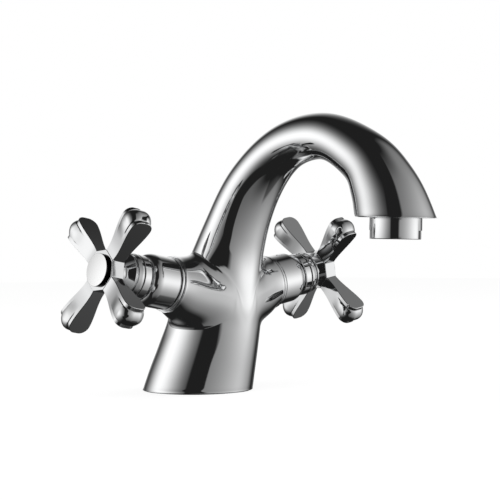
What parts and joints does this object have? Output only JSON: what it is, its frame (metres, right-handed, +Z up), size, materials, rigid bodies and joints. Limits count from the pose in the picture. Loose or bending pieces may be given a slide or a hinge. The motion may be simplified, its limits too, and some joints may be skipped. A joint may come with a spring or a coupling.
{
  "type": "two-handle basin mixer",
  "caption": "Deck-mounted basin mixer: a cast body with a swan-neck spout and aerator, and a cross handle on a ceramic-disc valve at each side.",
  "frame": {"origin": "centre of the round base on the deck plane", "axes": "+Z up, spout reaches towards -Y, hot valve on the -X side and cold valve on the +X side"},
  "size_m": [0.1648, 0.1902, 0.1396],
  "materials": {
    "chrome_body": "polished chrome plate on cast brass",
    "chrome_trim": "polished chrome plate on turned brass",
    "chrome_handle": "polished chrome plate on cast metal",
    "satin_cap": "flat satin face with a polished rim",
    "bare_brass": "machined brass",
    "stainless_steel": "plain stainless steel",
    "white_ceramic": "lapped alumina discs",
    "white_plastic": "moulded acetal",
    "black_rubber": "moulded rubber"
  },
  "bodies": {
    "tap": {"body": "chrome_body", "base_seal": "black_rubber", "aerator_housing": "chrome_trim", "aerator_gasket": "black_rubber", "aerator_strainer": "white_plastic", "aerator_core": "white_plastic", "aerator_screen": "stainless_steel", "hot_seat_seal": "black_rubber", "hot_fixed_disc": "white_ceramic", "hot_glide_washer": "white_plastic", "hot_valve_body": "bare_brass", "hot_flange_seal": "black_rubber", "hot_trim_ring": "chrome_trim", "hot_bonnet": "chrome_trim", "cold_seat_seal": "black_rubber", "cold_fixed_disc": "white_ceramic", "cold_glide_washer": "white_plastic", "cold_valve_body": "bare_brass", "cold_flange_seal": "black_rubber", "cold_trim_ring": "chrome_trim", "cold_bonnet": "chrome_trim"},
    "hot_lever": {"hot_moving_disc": "white_ceramic", "hot_spindle": "bare_brass", "hot_spindle_rings": "black_rubber", "hot_circlip": "stainless_steel", "hot_handle": "chrome_handle", "hot_handle_screw": "stainless_steel", "hot_index_cap": "satin_cap"},
    "cold_lever": {"cold_moving_disc": "white_ceramic", "cold_spindle": "bare_brass", "cold_spindle_rings": "black_rubber", "cold_circlip": "stainless_steel", "cold_handle": "chrome_handle", "cold_handle_screw": "stainless_steel", "cold_index_cap": "satin_cap"}
  },
  "joints": [
    {"name": "hot_handle_turn", "type": "hinge", "parent": "tap", "child": "hot_lever", "pos_m": [0, -0.0182, 0.0509], "axis": [-0.9848, 0, 0.1736], "range_deg": [0, 90]},
    {"name": "cold_handle_turn", "type": "hinge", "parent": "tap", "child": "cold_lever", "pos_m": [0, -0.0182, 0.0509], "axis": [0.9848, 0, 0.1736], "range_deg": [-90, 0]}
  ]
}
